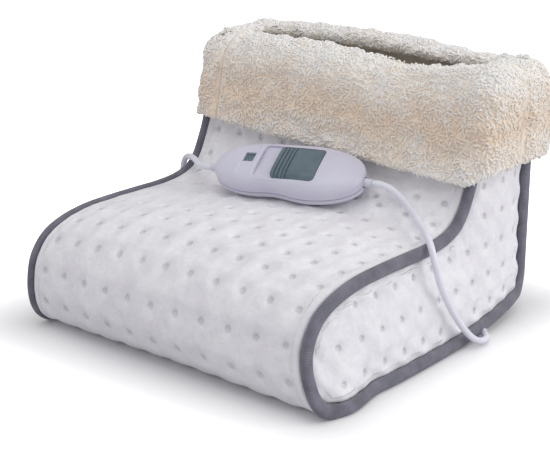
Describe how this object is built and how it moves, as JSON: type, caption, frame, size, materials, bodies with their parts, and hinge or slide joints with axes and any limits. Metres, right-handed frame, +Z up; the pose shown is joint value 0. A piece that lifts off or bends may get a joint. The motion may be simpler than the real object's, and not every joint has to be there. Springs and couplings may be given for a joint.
{
  "type": "electric foot warmer",
  "caption": "Quilted foot warmer like one wide boot for both feet, with a turned-down pile cuff, an electrically heated sole and a sliding hand controller on its lead.",
  "frame": {"origin": "on the underside of the sole, at the middle of its width and of the flat sole panel's length", "axes": "+Z up; -Y from the heel to the toes; +X to the boot's right side, where the controller's lead enters the sole"},
  "size_m": [0.4382, 0.3705, 0.2162],
  "materials": {
    "fleece": "off-white short micro-fleece, quilted",
    "sole_cloth": "dark grey anti-slip cloth",
    "tape": "dark grey ribbed woven tape",
    "sherpa": "cream curly pile",
    "plush": "cream plush lining",
    "foam": "light foam wadding",
    "carrier": "felt heater carrier",
    "heating_wire": "red insulated heating wire",
    "steel": "plain steel",
    "fuse": "sleeved fuse body",
    "junction": "dark moulded plastic",
    "flex": "light grey flexible plastic",
    "shell": "pale lilac-white satin moulding",
    "slider": "slate grey moulding",
    "window": "clear window",
    "number_strip": "printed strip",
    "board": "green circuit board",
    "contact": "plain contact metal",
    "triac": "black moulded part",
    "capacitor": "yellow film part",
    "pin": "plated pin"
  },
  "bodies": {
    "boot": {"vamp_panel": "fleece", "back_panel": "fleece", "right_side_panel": "fleece", "left_side_panel": "fleece", "sole_panel": "sole_cloth", "right_binding_front": "tape", "right_binding_rear": "tape", "left_binding": "tape", "cuff_front": "sherpa", "cuff_back": "sherpa", "cuff_left": "sherpa", "lining_vamp": "plush", "lining_back": "plush", "lining_right": "plush", "lining_left": "plush", "lining_sole": "plush", "sole_foam": "foam", "heater_carrier": "carrier", "heating_wire": "heating_wire", "thermostat": "steel", "thermal_fuse": "fuse", "junction_base": "junction", "junction_lid": "junction", "inner_lead": "flex", "sole_cord_gland": "flex", "controller_bottom_shell": "shell", "controller_top_shell": "shell", "window_lens": "window", "circuit_board": "board", "contact_plate": "contact", "triac": "triac", "capacitor": "capacitor", "shell_screw_1": "steel", "shell_screw_2": "steel", "gland_right": "flex", "gland_left": "flex", "controller_lead": "flex", "mains_lead": "flex", "mains_lead_coil": "flex", "plug_strain_relief": "flex", "plug_body": "flex", "plug_pin_1": "pin", "plug_pin_2": "pin"},
    "slider": {"controller_slider": "slider", "number_strip": "number_strip", "contact_spring": "contact"}
  },
  "joints": [
    {"name": "slider_slide", "type": "slide", "parent": "boot", "child": "slider", "axis": [-0.9758, -0.2163, -0.0332], "range_m": [0, 0.0154]}
  ]
}
